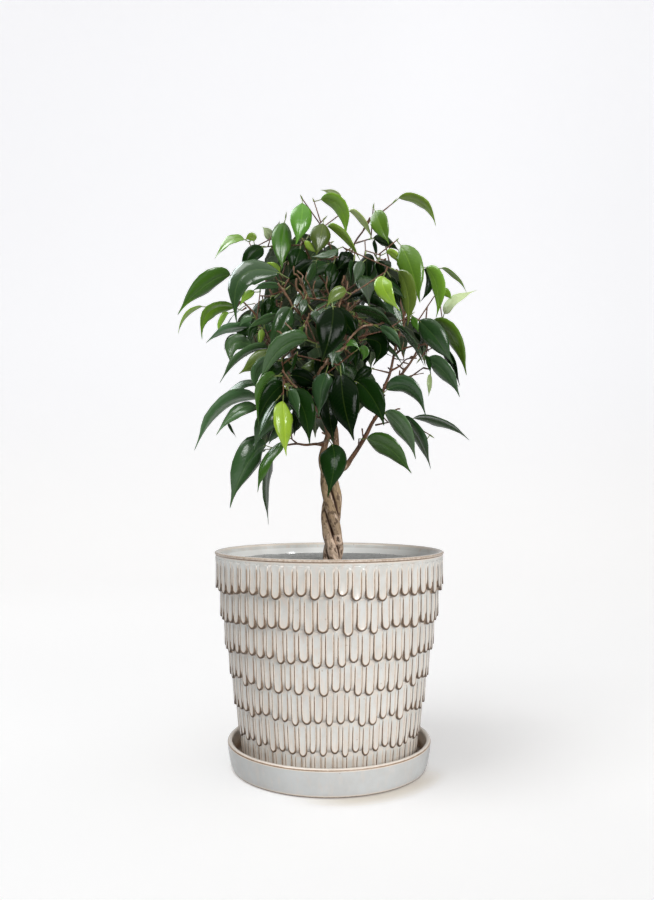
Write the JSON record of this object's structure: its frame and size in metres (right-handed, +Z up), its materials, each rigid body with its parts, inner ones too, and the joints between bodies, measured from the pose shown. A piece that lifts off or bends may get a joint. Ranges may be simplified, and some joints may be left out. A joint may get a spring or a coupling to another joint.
{
  "type": "potted weeping fig",
  "caption": "Weeping fig grown as a small standard on a braided trunk, in a round pot glazed off-white with rows of overlapping fingers, standing on a matching saucer.",
  "frame": {"origin": "centre of the saucer's flat underside, on the surface it stands on", "axes": "+Z up the trunk, -Y towards the picture's viewer, +X to the viewer's right"},
  "size_m": [0.297, 0.2476, 0.5639],
  "materials": {
    "pot_glaze": "satin",
    "saucer_glaze": "satin",
    "potting_soil": "matte",
    "grey_grit": "matte",
    "bark": "matte",
    "leaf_pale": "satin",
    "leaf_lime": "satin",
    "leaf_bright": "satin",
    "leaf_fresh": "satin",
    "leaf_olive": "satin",
    "leaf_blue": "satin",
    "leaf_deep": "satin"
  },
  "bodies": {
    "root": {"gravel_topping": "grey_grit", "pot": "pot_glaze", "saucer": "saucer_glaze", "soil": "potting_soil", "spray_01": "leaf_blue", "spray_02": "leaf_blue", "spray_03": "leaf_blue", "spray_04": "leaf_fresh", "spray_05": "leaf_deep", "spray_06": "leaf_fresh", "spray_07": "leaf_blue", "spray_08": "leaf_deep", "spray_09": "leaf_fresh", "spray_10": "leaf_blue", "spray_11": "leaf_pale", "spray_12": "leaf_fresh", "spray_13": "leaf_bright", "spray_14": "leaf_lime", "spray_15": "leaf_fresh", "spray_16": "leaf_fresh", "spray_17": "leaf_fresh", "spray_18": "leaf_fresh", "spray_19": "leaf_deep", "spray_20": "leaf_deep", "spray_21": "leaf_blue", "spray_22": "leaf_olive", "spray_23": "leaf_lime", "spray_24": "leaf_deep", "spray_25": "leaf_deep", "spray_26": "leaf_deep", "spray_27": "leaf_deep", "spray_28": "leaf_deep", "spray_29": "leaf_lime", "spray_30": "leaf_deep", "spray_31": "leaf_blue", "spray_32": "leaf_olive", "spray_33": "leaf_deep", "spray_34": "leaf_deep", "spray_35": "leaf_deep", "spray_36": "leaf_deep", "spray_37": "leaf_olive", "spray_38": "leaf_olive", "spray_39": "leaf_olive", "spray_40": "leaf_blue", "spray_41": "leaf_fresh", "spray_42": "leaf_blue", "spray_43": "leaf_fresh", "spray_44": "leaf_olive", "spray_45": "leaf_deep", "spray_46": "leaf_deep", "spray_47": "leaf_deep", "spray_48": "leaf_olive", "spray_49": "leaf_fresh", "spray_50": "leaf_olive", "spray_51": "leaf_deep", "spray_52": "leaf_olive", "stem_centre": "bark", "stem_left": "bark", "stem_right": "bark"}
  },
  "joints": []
}
